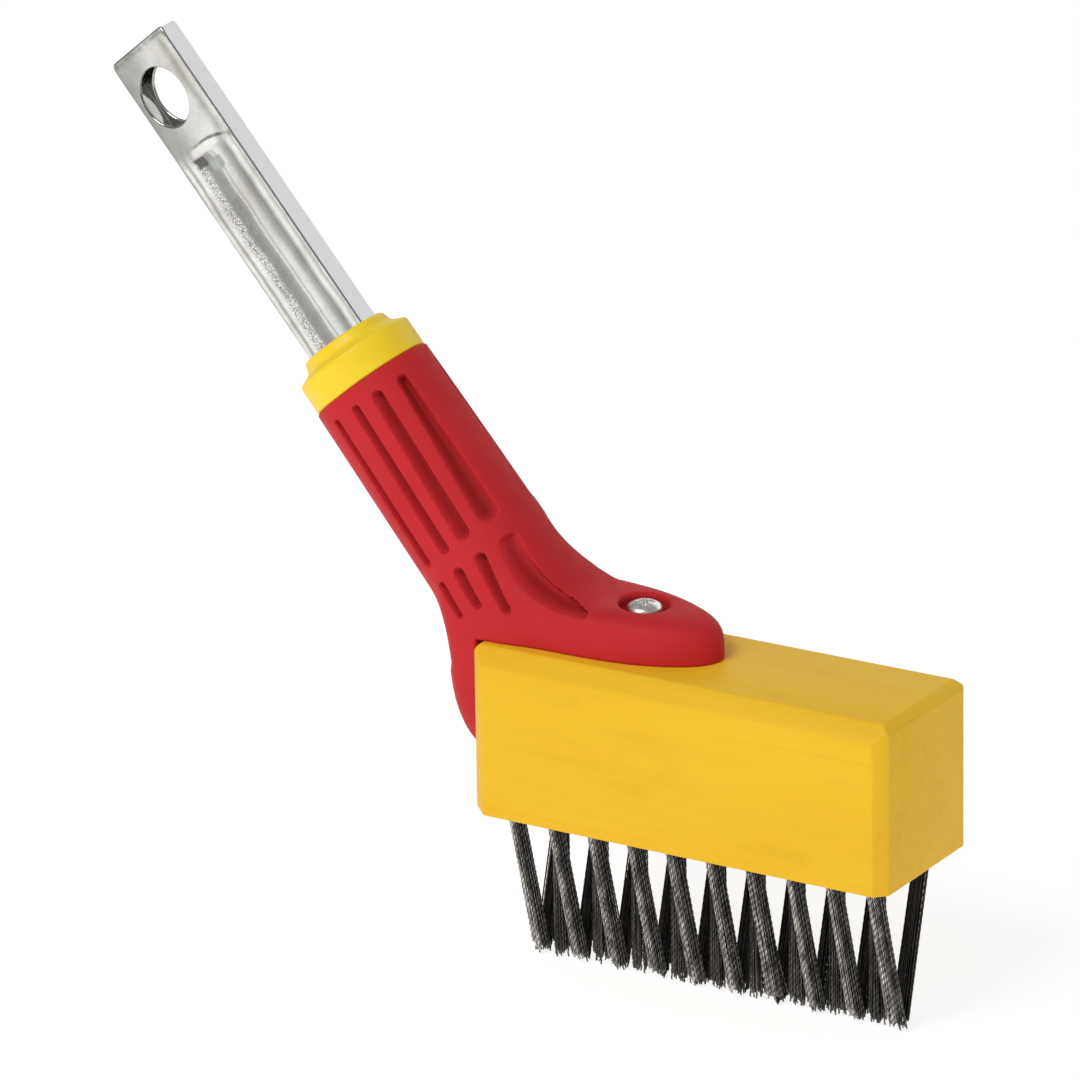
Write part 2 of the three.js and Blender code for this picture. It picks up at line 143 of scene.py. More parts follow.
def sample(field, axes):
    """Field values over a grid; far from the surface only their sign is worked out."""
    counts = [len(axis) for axis in axes]
    blocks = [int(math.ceil(count / BLOCK_CELLS)) for count in counts]
    padded = [np.concatenate([axis, axis[-1] + np.arange(1, n * BLOCK_CELLS - len(axis) + 1)])
              for axis, n in zip(axes, blocks)]
    folded = [axis.reshape(-1, BLOCK_CELLS) for axis in padded]
    middles = np.stack(np.meshgrid(*[axis.mean(1) for axis in folded], indexing="ij"), -1)
    extents = np.meshgrid(*[np.ptp(axis, axis=1) for axis in folded], indexing="ij")
    reach = FAR_SHARE * np.sqrt(sum(extent ** 2 for extent in extents)) + FAR_MARGIN
    middle_values = field(middles)
    values = np.where(middle_values < 0, -1.0, 1.0)[:, None, :, None, :, None]
    values = np.tile(values, (1, BLOCK_CELLS, 1, BLOCK_CELLS, 1, BLOCK_CELLS))
    for i, j, k in chunks(np.argwhere(np.abs(middle_values) < reach), BLOCKS_AT_ONCE):
        x, y, z = folded[0][i], folded[1][j], folded[2][k]
        points = np.stack(np.broadcast_arrays(
            x[:, :, None, None], y[:, None, :, None], z[:, None, None, :]), -1)
        values[i, :, j, :, k, :] = field(points)
    whole = values.reshape([n * BLOCK_CELLS for n in blocks])
    return whole[tuple(map(slice, counts))]


def chunks(rows, size):
    for first in range(0, len(rows), size):
        yield rows[first:first + size].T


def crossing_means(values, cells):
    """For each cell, the mean of the points where the surface crosses its edges, in grid steps."""
    total = np.zeros((len(cells), 3))
    hits = np.zeros(len(cells))
    for corner in CORNERS:
        for axis in range(3):
            if corner[axis]:
                continue
            other = list(corner)
            other[axis] = 1
            a = values[tuple((cells + corner).T)]
            b = values[tuple((cells + other).T)]
            crosses = (a < 0) != (b < 0)
            point = cells + np.array(corner, float)
            point[:, axis] += np.where(crosses, a / np.where(a == b, 1, a - b), 0)
            total += np.where(crosses[:, None], point, 0)
            hits += crosses
    return total / hits[:, None]


def surface_net(field, axes):
    """Quads over the field's zero surface, with their points pulled onto it, and its normals."""
    values = sample(field, axes)
    inside = values < 0
    cells = tuple(size - 1 for size in values.shape)
    count = sum(inside[tuple(slice(c, c + n) for c, n in zip(corner, cells))].astype(np.int8)
                for corner in CORNERS)
    active = (count > 0) & (count < len(CORNERS))
    index = -np.ones(cells, np.int64)
    index[active] = np.arange(active.sum())
    place = crossing_means(values, np.argwhere(active))
    vertices = np.stack([np.interp(place[:, n], np.arange(len(axis)), axis)
                         for n, axis in enumerate(axes)], 1)
    limit = min(np.diff(axis).min() for axis in axes) / 2
    vertices = pull_onto(field, vertices, limit)
    faces = np.concatenate(list(net_faces(inside, index, cells)))
    return vertices, faces, slopes(field, vertices)


def net_faces(inside, index, cells):
    """One quad for each grid edge that crosses the surface, wound outwards."""
    for axis in range(3):
        u, v = (axis + 1) % 3, (axis + 2) % 3
        shift = [int(n == axis) for n in range(3)]
        near = inside[tuple(slice(0, n - s) for n, s in zip(inside.shape, shift))]
        far = inside[tuple(slice(s, n) for n, s in zip(inside.shape, shift))]
        edge = np.argwhere(near != far)
        for side in (u, v):
            edge = edge[(edge[:, side] > 0) & (edge[:, side] < cells[side])]
        ring = []
        for du, dv in ((1, 1), (0, 1), (0, 0), (1, 0)):
            around = edge.copy()
            around[:, u] -= du
            around[:, v] -= dv
            ring.append(index[tuple(around.T)])
        quad = np.stack(ring, 1)
        leaving = inside[tuple(edge.T)]
        quad[~leaving] = quad[~leaving][:, ::-1]
        yield quad


def slopes(field, vertices):
    return np.stack([(field(vertices + offset) - field(vertices - offset)) / (2 * SLOPE_NUDGE)
                     for offset in np.eye(3) * SLOPE_NUDGE], -1)


def pull_onto(field, vertices, limit, rounds=3):
    """Moves points along the field's slope until they lie on its zero surface."""
    for _ in range(rounds):
        slope = slopes(field, vertices)
        squared = np.maximum((slope * slope).sum(-1), LEAST_SLOPE_SQUARED)
        move = -(field(vertices) / squared)[:, None] * slope
        vertices = vertices + np.clip(move, -limit, limit)
    return vertices


def linked(name, data):
    made = bpy.data.objects.new(name, data)
    bpy.context.scene.collection.objects.link(made)
    return made


def smooth_shaded(mesh):
    mesh.polygons.foreach_set("use_smooth", [True] * len(mesh.polygons))


def mesh_object(name, vertices, faces, normals=None):
    """Makes a smooth mesh object from millimetre vertices; normals are kept where given."""
    mesh = bpy.data.meshes.new(name)
    mesh.from_pydata((np.asarray(vertices) * MM).tolist(), [], faces)
    smooth_shaded(mesh)
    mesh.update()
    if normals is not None:
        unit = normals / np.maximum(np.linalg.norm(normals, axis=1), 1e-9)[:, None]
        mesh.normals_split_custom_set_from_vertices(unit.tolist())
    return linked(name, mesh)


def field_object(name, field, axes, place=None):
    """A piece from its field; place is (origin, three axes) where the field has its own frame."""
    vertices, faces, normals = surface_net(field, axes)
    if place is not None:
        origin, frame_axes = place
        vertices = origin + vertices @ frame_axes
        normals = normals @ frame_axes
    return mesh_object(name, vertices, faces.tolist(), normals)


def finish_piece(made, material, slot, *nodes):
    """Gives a piece its material and its body, and hides the CAD nodes it stands for; the slot is not
    used.
    """
    made.data.materials.append(material)
    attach(made, "root")
    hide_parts(*nodes)


# ---- socket ----
TONGUE_ROUNDNESS, FLANGE_ROUNDNESS = 5.0, 3.6
TONGUE_BACK = ((-20, 16.0), (24, 15.8), (38, 15.2), (50, 15.0), (64, 14.4), (77, 14.2))
FLANGE_BACK = ((-20, 15.4), (11, 14.0), (14.5, 15.2), (24, 15.2), (45, 13.5))
TUBE_FOOT, TUBE_FOOT_BLEND = 4.0, 8.0
TONGUE_OVERHANG, FLANGE_OVERHANG, OVERHANG_BLEND = 4.0, 8.0, 6.0
TONGUE_FILLET, FLANGE_FILLET = 14.0, 8.0
FLANK_SPARE, FLANK_SWELL, FLANK_FROM, FLANK_TO, FLANK_BLEND = 0.2, 2.4, -25.0, 32.0, 3.0
BORE_EDGE, BORE_FLOOR_EDGE = 1.9, 0.6  # how softly the surface turns down into a screw bore
RIM_EDGE, SEAT_GAP, SEAT_EDGE = 0.7, 0.05, 0.8
LEAST_LUG_SLOPE = 0.02


def lug(across, distance, height, sizes, back, p):
    """A lug on a block face: half-ellipse tip in plan, crowned back, boxier as p grows."""
    reach, half_width, taper_start = sizes
    tip_share = np.maximum(distance - taper_start, 0) / (reach - taper_start)
    plan = np.hypot(across / half_width, tip_share)
    rise = np.interp(distance, *zip(*back))
    share = np.abs(height) / rise
    whole = np.maximum((plan ** p + share ** p) ** (1 / p), 1e-6)
    plan_slope = np.hypot(across / half_width ** 2, tip_share / (reach - taper_start))
    plan_slope = plan_slope / np.maximum(plan, 1e-6)
    slope = np.hypot((plan / whole) ** (p - 1) * plan_slope, (share / whole) ** (p - 1) / rise)
    return (whole - 1) / np.maximum(slope, LEAST_LUG_SLOPE)


def socket_body(points):
    """The socket's outer shape before anything is cut into it."""
    local = points - AXIS_FOOT
    along, up, across = local @ AXIS, local @ NORMAL, points[..., 1]
    radius = np.interp(along, (0, ROOT_AT, SOCKET_RIM), (ROOT_RADIUS, ROOT_RADIUS, RIM_RADIUS))
    tube = smooth_max(np.hypot(up, across) - radius, TUBE_FOOT - along, TUBE_FOOT_BLEND)
    from_end = points[..., 0] - SOCKET_END_X
    above = points[..., 2] - BLOCK_TOP
    tongue = lug(across, from_end, above, TONGUE_SIZES, TONGUE_BACK, TONGUE_ROUNDNESS)
    tongue = smooth_max(tongue, -from_end - TONGUE_OVERHANG, OVERHANG_BLEND)
    flange = lug(across, -above, from_end, FLANGE_SIZES, FLANGE_BACK, FLANGE_ROUNDNESS)
    flange = smooth_max(flange, above - FLANGE_OVERHANG, OVERHANG_BLEND)
    body = smooth_min(smooth_min(tube, tongue, TONGUE_FILLET), flange, FLANGE_FILLET)
    swell = FLANK_SWELL * smoothstep(FLANK_FROM, FLANK_TO, along)
    side = LUG_HALF_WIDTH + FLANK_SPARE + swell
    return smooth_max(body, np.abs(across) - side, FLANK_BLEND)


FLUTE_DEPTH = 3.0
# each recess: [degrees from the side towards the back, mm below the rim, half-width] at both ends,
# and the angle of the direction in which it is sunk into the socket
FLUTES = (((58.5, 5, 2.0), (55.0, 60, 4.2), 34),
          ((31.4, 5, 1.9), (26.5, 60, 2.6), 4),
          ((9.0, 5, 1.5), (4.0, 60, 2.0), 0),
          ((-16.7, 5, 1.4), (-20.9, 60, 1.7), -4),
          ((27.6, 65, 2.1), (22.3, 87, 2.0), 2),
          ((3.2, 65, 2.1), (0.5, 80, 1.8), 0),
          ((-20.3, 65.5, 1.8), (-21.2, 79, 1.4), -4))
# the recess that bends with the socket's back: [from the block's end, above its top, half-width]
BENT_FLUTE = ((7.6, 31.4, 2.4), (10.2, 27.6, 2.5), (13.6, 23.8, 2.5), (17.6, 20.4, 2.35),
              (22.4, 17.5, 2.15), (27.6, 15.3, 1.85), (33.0, 13.9, 1.5), (37.2, 13.2, 1.1))
BENT_FLUTE_FROM, BENT_FLUTE_FULL = 6.5, 12.0  # it fades in between these distances from the middle
BENT_FLUTE_WIDE, BENT_FLUTE_DEEPEST = 2.0, 1.15  # half-width for full depth; most, as a share
BENT_FLUTE_EDGE, BENT_FLUTE_BOTTOM = -0.05, 0.9  # where across it the wall starts and ends


def stretch_field(x, y, first, last):
    """Distance to a flat strip with round ends, whose half-width changes along it."""
    x0, y0, half0 = first
    dx, dy, widening = (b - a for a, b in zip(first, last))
    share = np.clip(((x - x0) * dx + (y - y0) * dy) / (dx * dx + dy * dy), 0, 1)
    half = half0 + share * widening
    return np.hypot(x - x0 - share * dx, y - y0 - share * dy) - half, half


def flute_end(end, sunk, inward):
    """Centre and half-width of a recess's round end, seen along the direction it is sunk in."""
    turn, down, half = end
    turn = math.radians(turn) - sunk
    return ROOT_RADIUS * math.sin(turn), down + inward * half, half * math.cos(turn)


def straight_flutes(points):
    """Depth of the recesses that run along the tube."""
    local = points - AXIS_FOOT
    down, up = SOCKET_RIM - local @ AXIS, local @ NORMAL
    out = np.abs(points[..., 1])
    depth = np.zeros(down.shape)
    for upper, lower, sunk in FLUTES:
        sunk = math.radians(sunk)
        beside = up * math.cos(sunk) - out * math.sin(sunk)
        distance, half = stretch_field(beside, down, flute_end(upper, sunk, 1),
                                       flute_end(lower, sunk, -1))
        depth = np.maximum(depth, FLUTE_DEPTH * hollow_profile(-distance, half))
    return depth


def bent_flute(points):
    """Depth of the recess that bends with the socket's back, on its flanks only."""
    x, z = points[..., 0] - SOCKET_END_X, points[..., 2] - BLOCK_TOP
    on_flank = smoothstep(BENT_FLUTE_FROM, BENT_FLUTE_FULL, np.abs(points[..., 1]))
    depth = np.zeros(x.shape)
    for first, last in zip(BENT_FLUTE, BENT_FLUTE[1:]):
        distance, half = stretch_field(x, z, first, last)
        sunk = FLUTE_DEPTH * np.minimum(half / BENT_FLUTE_WIDE, BENT_FLUTE_DEEPEST)
        wall = smoothstep(BENT_FLUTE_EDGE, BENT_FLUTE_BOTTOM, -distance / half)
        depth = np.maximum(depth, sunk * wall)
    return depth * on_flank


def flute_depth(points):
    """How deep the recesses in both flanks are at each point."""
    return np.maximum(straight_flutes(points), bent_flute(points))


def tang_slot(up, across):
    """Section of the opening that the tang goes through."""
    return rounded_box(up, across, TANG_WIDTH / 2 + CLEARANCE,
                       TANG_THICKNESS / 2 + CLEARANCE, TANG_CORNER + CLEARANCE)


def screw_bores(points):
    """Bores for the two screw heads, with the shank holes below them."""
    from_end = points[..., 0] - SOCKET_END_X
    above = points[..., 2] - BLOCK_TOP
    top = np.hypot(from_end - TOP_SCREW_INSET, points[..., 1])
    end = np.hypot(above + END_SCREW_INSET, points[..., 1])
    holes = []
    for radial, height in ((top, above), (end, -from_end)):
        holes.append(smooth_max(radial - BORE_RADIUS, BORE_FLOOR - height, BORE_FLOOR_EDGE))
        holes.append(np.maximum(radial - SHANK_RADIUS - CLEARANCE, height - BORE_FLOOR - 1))
    return np.minimum.reduce(holes)


def socket_pocket(points):
    """Mouth for the collar's spigot and, below it, the flat pocket that grips the tang."""
    local = points - AXIS_FOOT
    along, up, across = local @ AXIS, local @ NORMAL, points[..., 1]
    mouth = np.maximum(np.hypot(up, across) - SPIGOT_RADIUS - CLEARANCE,
                       SOCKET_RIM - SPIGOT_DEPTH - CLEARANCE - along)
    pocket = np.maximum(tang_slot(up, across),
                        SOCKET_RIM - TANG_INSERTED - CLEARANCE - along)
    return np.minimum(mouth, pocket)


def socket_field(points):
    """The whole socket; the recesses are worked out only near its surface."""
    body = socket_body(points)
    near = np.abs(body) < 2 * FLUTE_DEPTH
    if near.any():
        body[near] += flute_depth(points[near])
    body = smooth_max(body, -screw_bores(points), BORE_EDGE)
    along = (points - AXIS_FOOT) @ AXIS
    body = smooth_max(body, along - SOCKET_RIM, RIM_EDGE)
    block = np.maximum(points[..., 2] - BLOCK_TOP, SOCKET_END_X - points[..., 0])
    body = smooth_max(body, SEAT_GAP - block, SEAT_EDGE)
    return np.maximum(body, -socket_pocket(points))


SOCKET_STEPS, SOCKET_MARGIN = (0.5, 1.0), 1.6
BORE_SHADE = 0.45  # how much painted shade a screw bore gets, against a full recess


def paint_recess_shade(made):
    """Stores how deep in a recess each point of the socket lies, for its material to darken as
    painted shade.
    """
    places = np.empty(len(made.data.vertices) * 3)
    made.data.vertices.foreach_get("co", places)
    places = places.reshape(-1, 3) / MM
    in_bore = smoothstep(1.0, 0.1, screw_bores(places))
    recess = np.maximum(flute_depth(places) / FLUTE_DEPTH, BORE_SHADE * in_bore)
    made.data.attributes.new("recess", "FLOAT", "POINT").data.foreach_set("value", recess)


def make_socket(material):
    low, high = (np.array(corner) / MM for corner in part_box("handle_socket"))
    step = grid_step(*SOCKET_STEPS)
    axes = [span(a - SOCKET_MARGIN, b + SOCKET_MARGIN, step) for a, b in zip(low, high)]
    made = field_object("moulded_socket", socket_field, axes)
    paint_recess_shade(made)
    finish_piece(made, material, "red_plastic", "handle_socket")


# ---- collar, tang and screws, each in a frame of its own ----
# names in _UNIT are factors that bring a field's slope back to about 1
AXIS_FRAME = np.stack([NORMAL, SIDE, AXIS])
SHOULDER_SLOPE, SHOULDER_INSET, SHOULDER_UNIT, SHOULDER_EDGE = 0.45, 0.8, 0.91, 0.8
NECK_SLOPE, NECK_RISE, NECK_FILLET, LIP_EDGE = 0.3, 1.6, 1.0, 0.9
FOOT_EDGE, SPIGOT_EDGE, SLOT_EDGE = 0.5, 0.6, 0.7
COLLAR_STEPS = (0.4, 0.7)


def collar_field(points):
    """Ring, sloping shoulder and lip round the tang; z is measured from the socket's rim."""
    up, across, z = points[..., 0], points[..., 1], points[..., 2]
    radial = np.hypot(up, across)
    fall = SHOULDER_SLOPE * (radial - COLLAR_RADIUS + SHOULDER_INSET)
    shoulder = (z - COLLAR_HEIGHT + fall) * SHOULDER_UNIT
    ring = smooth_max(radial - COLLAR_RADIUS, shoulder, SHOULDER_EDGE)
    ring = smooth_max(ring, CLEARANCE - z, FOOT_EDGE)
    neck = radial - NECK_RADIUS + NECK_SLOPE * (z - COLLAR_HEIGHT - NECK_RISE)
    neck = smooth_max(neck, z - LIP_TOP, LIP_EDGE)
    neck = np.maximum(neck, CLEARANCE - z)
    spigot = np.maximum(radial - SPIGOT_RADIUS, z - CLEARANCE - 1)
    body = np.minimum(smooth_min(ring, neck, NECK_FILLET), spigot)
    body = smooth_max(body, -z - SPIGOT_DEPTH, SPIGOT_EDGE)
    return smooth_max(body, -tang_slot(up, across), SLOT_EDGE)


def make_collar(material):
    step = grid_step(*COLLAR_STEPS)
    radial = span(-COLLAR_RADIUS - 1, COLLAR_RADIUS + 1, step)
    axes = [radial, radial, span(-SPIGOT_DEPTH - 1, LIP_TOP + 1, step)]
    place = (AXIS_FOOT + SOCKET_RIM * AXIS, AXIS_FRAME)
    finish_piece(field_object("moulded_collar", collar_field, axes, place), material,
                 "yellow_plastic", "socket_collar")


GROOVE_NOSE, GROOVE_POWER, GROOVE_UNIT, GROOVE_EDGE = 3.6, 0.9, 0.95, 0.8
# swelling pushed up round the groove; where it is and how wide are shares of the groove's width
RIM_HEIGHT, RIM_WIDTH, RIM_PLACE, RIM_LEAST = 0.5, 0.32, 1.25, 0.3
TANG_EDGE, TIP_CORNER, TIP_EDGE = 1.3, 1.8, 0.5
TIP_CURL, CURL_FROM, CURL_TO = 0.6, -5.5, 0.5  # how the grooved face bends back at the tip
INNER_CORNER, INNER_WALL, INNER_UNIT, INNER_EDGE = 0.6, 1.07, 0.93, 0.3
HOLE_UNIT, HOLE_EDGE = 8.8, 0.8
TANG_STEPS, TANG_PLAIN_STEP, TANG_MARGIN, TIP_MARGIN = (0.28, 0.5), 1.4, 0.7, 0.6


def groove_floor(n, from_tip):
    """Depth of the pressed groove: two hollow walls that meet in a crease, and a round start."""
    past_nose = np.maximum(GROOVE_START + GROOVE_NOSE - from_tip, 0) / GROOVE_NOSE
    share = np.hypot(n / GROOVE_HALF_WIDTH, past_nose)
    pressed = GROOVE_DEPTH * np.clip(1 - share, 0, 1) ** GROOVE_POWER
    nose = smoothstep(GROOVE_START + 3 * GROOVE_NOSE, GROOVE_START, from_tip)
    swelling = RIM_HEIGHT * np.exp(-((share - RIM_PLACE) / RIM_WIDTH) ** 2)
    return pressed - swelling * (RIM_LEAST + (1 - RIM_LEAST) * nose)


def tang_field(points):
    """Folded hollow strip with a pressed groove and a catch hole; z is measured from the tip."""
    n, y, z = points[..., 0], points[..., 1], points[..., 2]
    half_n, half_y = TANG_WIDTH / 2, TANG_THICKNESS / 2
    curl = TIP_CURL * smoothstep(CURL_FROM, CURL_TO, z) ** 2
    floor = groove_floor(n, -z) - half_y + curl
    outer = rounded_box(n, y + RIM_HEIGHT / 2, half_n, half_y + RIM_HEIGHT / 2, TANG_EDGE)
    outer = smooth_max(outer, (floor - y) * GROOVE_UNIT, GROOVE_EDGE)
    inner = rounded_box(n, y, half_n - TANG_WALL, half_y - TANG_WALL, INNER_CORNER)
    inner = np.maximum(inner, (floor + TANG_WALL * INNER_WALL - y) * INNER_UNIT)
    shell = smooth_max(outer, -inner, INNER_EDGE)
    oval = np.hypot((n - HOLE_OFFSET) / HOLE_HALF_WIDTH, (z + HOLE_FROM_TIP) / HOLE_HALF_LENGTH)
    shell = smooth_max(shell, (1 - oval) * HOLE_UNIT, HOLE_EDGE)
    half_length = (TANG_INSERTED + TANG_EXPOSED) / 2
    outline = rounded_box(n, z + half_length, half_n, half_length, TIP_CORNER)
    return smooth_max(shell, outline, TIP_EDGE)


def make_tang(material):
    fine = grid_step(*TANG_STEPS)
    base = -(TANG_INSERTED + TANG_EXPOSED)
    detailed = GROOVE_START + 2 * GROOVE_NOSE
    lengthwise = [span(base - TANG_MARGIN, base + TANG_MARGIN, fine)[:-1],
                  span(base + TANG_MARGIN, -detailed, TANG_PLAIN_STEP)[:-1],
                  span(-detailed, TIP_MARGIN, fine)]
    sideways = [span(-size / 2 - TANG_MARGIN, size / 2 + TANG_MARGIN, fine)
                for size in (TANG_WIDTH, TANG_THICKNESS)]
    axes = [*sideways, np.concatenate(lengthwise)]
    place = (AXIS_FOOT + TANG_TIP * AXIS, AXIS_FRAME)
    finish_piece(field_object("pressed_tang", tang_field, axes, place), material,
                 "plated_steel", "steel_tang")


RECESS_HALF_WIDTH, RECESS_HALF_SPAN, RECESS_DEPTH = 0.75, 3.4, 2.0
RECESS_TAPER, WIDTH_TAPER, SPAN_TAPER = 0.25, 0.3, 1.6
RECESS_EDGE, RECESS_FILLET, RECESS_LIP = 0.3, 0.8, 0.25
DOME_DROP, DOME_POWER, DOME_UNIT = 1.9, 2.2, 0.86
HEAD_EDGE, HEAD_FOOT_EDGE = 1.2, 0.3
POINT_SLOPE, POINT_UNIT = 0.6, 0.86
SCREW_STEPS, SHANK_STEP, SCREW_MARGIN, HEAD_MARGIN = (0.16, 0.3), 0.6, 0.5, 0.4
TOP_SCREW_TURN = math.radians(33)


def cross_recess(x, y, z):
    """The driver's cross in a screw head, narrower and shorter towards its bottom."""
    taper = RECESS_TAPER * (HEAD_HEIGHT - z)
    arms = [smooth_max(np.abs(a) - RECESS_HALF_WIDTH + WIDTH_TAPER * taper,
                       np.abs(b) - RECESS_HALF_SPAN + SPAN_TAPER * taper, RECESS_EDGE)
            for a, b in ((x, y), (y, x))]
    return np.maximum(smooth_min(*arms, RECESS_FILLET), HEAD_HEIGHT - RECESS_DEPTH - z)


def screw_field(points):
    """Pan head screw with a cross recess; z is measured from under the head."""
    x, y, z = points[..., 0], points[..., 1], points[..., 2]
    radial = np.hypot(x, y)
    dome = (z - HEAD_HEIGHT + DOME_DROP * (radial / HEAD_RADIUS) ** DOME_POWER) * DOME_UNIT
    head = smooth_max(radial - HEAD_RADIUS, dome, HEAD_EDGE)
    head = smooth_max(head, -z, HEAD_FOOT_EDGE)
    head = smooth_max(head, -cross_recess(x, y, z), RECESS_LIP)
    narrowing = POINT_SLOPE * np.maximum(SHANK_RADIUS * 2 - SCREW_LENGTH - z, 0)
    point = (radial - SHANK_RADIUS + narrowing) * POINT_UNIT
    shank = np.maximum(np.maximum(point, z - 1), -z - SCREW_LENGTH)
    return np.minimum(head, shank)


def make_screw(name, node, origin, frame_axes, material):
    fine = grid_step(*SCREW_STEPS)
    across = span(-HEAD_RADIUS - SCREW_MARGIN, HEAD_RADIUS + SCREW_MARGIN, fine)
    along = np.concatenate([span(-SCREW_LENGTH - SCREW_MARGIN, -SHANK_STEP, SHANK_STEP)[:-1],
                            span(-SHANK_STEP, HEAD_HEIGHT + HEAD_MARGIN, fine)])
    made = field_object(name, screw_field, [across, across, along], (origin, frame_axes))
    finish_piece(made, material, "screw_steel", node)


def make_screws(material):
    seat = BORE_FLOOR + CLEARANCE
    c, s = math.cos(TOP_SCREW_TURN), math.sin(TOP_SCREW_TURN)
    make_screw("pan_head_screw_top", "top_screw",
               np.array([SOCKET_END_X + TOP_SCREW_INSET, 0, BLOCK_TOP + seat]),
               np.array([[c, s, 0], [-s, c, 0], [0, 0, 1]]), material)
    make_screw("pan_head_screw_end", "end_screw",
               np.array([SOCKET_END_X - seat, 0, BLOCK_TOP - END_SCREW_INSET]),
               np.array([[0, 0, 1], [0, 1, 0], [-1, 0, 0]]), material)


# ---- wooden block ----
BLOCK_BEVEL, BEVEL_STEPS = 0.7, 3
TUFT_HOLE_SIDES, SCREW_HOLE_SIDES = 20, 16
TUFT_BAR = (-3.0, 13.0)  # where a tuft hole's cutter starts and ends, above the underside
SHARP_FROM = math.radians(32)


def block_outline():
    half_x, half_y = BLOCK_LENGTH / 2, BLOCK_WIDTH / 2
    near, far = NEAR_CORNER_CHAMFER, SOCKET_CORNER_CHAMFER
    upper = [(half_x, half_y - near), (half_x - near, half_y),
             (-half_x + far, half_y), (-half_x, half_y - far)]
    return upper + [(x, -y) for x, y in reversed(upper)]


def trimmed(bm, plane_point, plane_normal):
    """Cuts off what lies beyond a plane and closes the cut."""
    cut = bmesh.ops.bisect_plane(bm, geom=bm.verts[:] + bm.edges[:] + bm.faces[:],
                                 plane_co=plane_point, plane_no=plane_normal, clear_outer=True)
    rim = [item for item in cut["geom_cut"] if isinstance(item, bmesh.types.BMEdge)]
    bmesh.ops.contextual_create(bm, geom=rim)


def add_bar(cutters, start, end, radius, sides):
    """Adds a closed round bar between two points to the cutters."""
    start, end = np.array(start, float), np.array(end, float)
    direction = mathutils.Vector((end - start).tolist())
    turn = direction.to_track_quat("Z", "Y").to_matrix().to_4x4()
    middle = mathutils.Matrix.Translation(((start + end) / 2).tolist())
    bar = bmesh.new()
    bmesh.ops.create_cone(bar, cap_ends=True, segments=sides, radius1=radius, radius2=radius,
                          depth=direction.length, matrix=middle @ turn)
    part = bpy.data.meshes.new("bar")
    bar.to_mesh(part)
    cutters.from_mesh(part)
    bar.free()
    bpy.data.meshes.remove(part)


def object_from(name, bm):
    """Turns a bmesh in millimetres into an object."""
    bmesh.ops.scale(bm, vec=(MM, MM, MM), verts=bm.verts)
    mesh = bpy.data.meshes.new(name)
    bm.to_mesh(mesh)
    bm.free()
    return linked(name, mesh)


def apply_modifiers(made):
    bpy.context.view_layer.update()
    evaluated = made.evaluated_get(bpy.context.evaluated_depsgraph_get())
    mesh = bpy.data.meshes.new_from_object(evaluated)
    made.modifiers.clear()
    made.data = mesh


def block_solid():
    """The chamfered and bevelled block, without holes."""
    bm = bmesh.new()
    outline = [bm.verts.new((BLOCK_X + x, y, UNDERSIDE)) for x, y in block_outline()]
    floor = bm.faces.new(outline)
    raised = bmesh.ops.extrude_face_region(bm, geom=[floor])["geom"]
    top = [item for item in raised if isinstance(item, bmesh.types.BMVert)]
    bmesh.ops.translate(bm, vec=(0, 0, BLOCK_HEIGHT), verts=top)
    bmesh.ops.recalc_face_normals(bm, faces=bm.faces)
    for side in (-1, 1):
        trimmed(bm, (0, side * (BLOCK_WIDTH / 2 - LONG_EDGE_CHAMFER), BLOCK_TOP), (0, side, 1))
        edge_x = BLOCK_X + side * (BLOCK_LENGTH / 2 - END_EDGE_CHAMFER)
        trimmed(bm, (edge_x, 0, BLOCK_TOP), (side, 0, 1))
    bmesh.ops.remove_doubles(bm, verts=bm.verts, dist=1e-3)
    bmesh.ops.bevel(bm, geom=bm.edges[:], offset=BLOCK_BEVEL, segments=BEVEL_STEPS, profile=0.5,
                    affect="EDGES", clamp_overlap=True)
    return object_from("painted_block", bm)


def hole_cutters(tufts):
    """Bars for the tuft holes and for the two screws' shanks."""
    cutters = bmesh.new()
    for tuft in tufts:
        add_bar(cutters, *(tuft_centre(tuft, UNDERSIDE + end) for end in TUFT_BAR),
                TUFT_RADIUS + CLEARANCE, TUFT_HOLE_SIDES)
    seat = BORE_FLOOR + CLEARANCE
    depth = SCREW_LENGTH - seat + 2
    for start, inward in (((SOCKET_END_X + TOP_SCREW_INSET, 0, BLOCK_TOP + 1), (0, 0, -1)),
                          ((SOCKET_END_X - 1, 0, BLOCK_TOP - END_SCREW_INSET), (1, 0, 0))):
        add_bar(cutters, start, np.array(start) + depth * np.array(inward),
                SHANK_RADIUS + CLEARANCE, SCREW_HOLE_SIDES)
    return object_from("cutters", cutters)


def make_block(tufts, material):
    block = block_solid()
    cutters = hole_cutters(tufts)
    cut = block.modifiers.new("holes", "BOOLEAN")
    cut.object, cut.operation, cut.solver = cutters, "DIFFERENCE", "EXACT"
    apply_modifiers(block)
    bpy.data.objects.remove(cutters)
    smooth_shaded(block.data)
    block.data.set_sharp_from_angle(angle=SHARP_FROM)
    finish_piece(block, material, "painted_wood", "wooden_block")


# ---- wire tufts ----
TIP_OFFSET = 0.3
TIP_HALF_X, TIP_HALF_Y = 2.95, 1.8
WIRES, WIRE_RADIUS = 40, 0.265
WIRE_SEGMENTS, WIRE_SIDES = 84, 5
CRIMP_PITCH, CRIMP_DEPTH = 2.3, 0.22
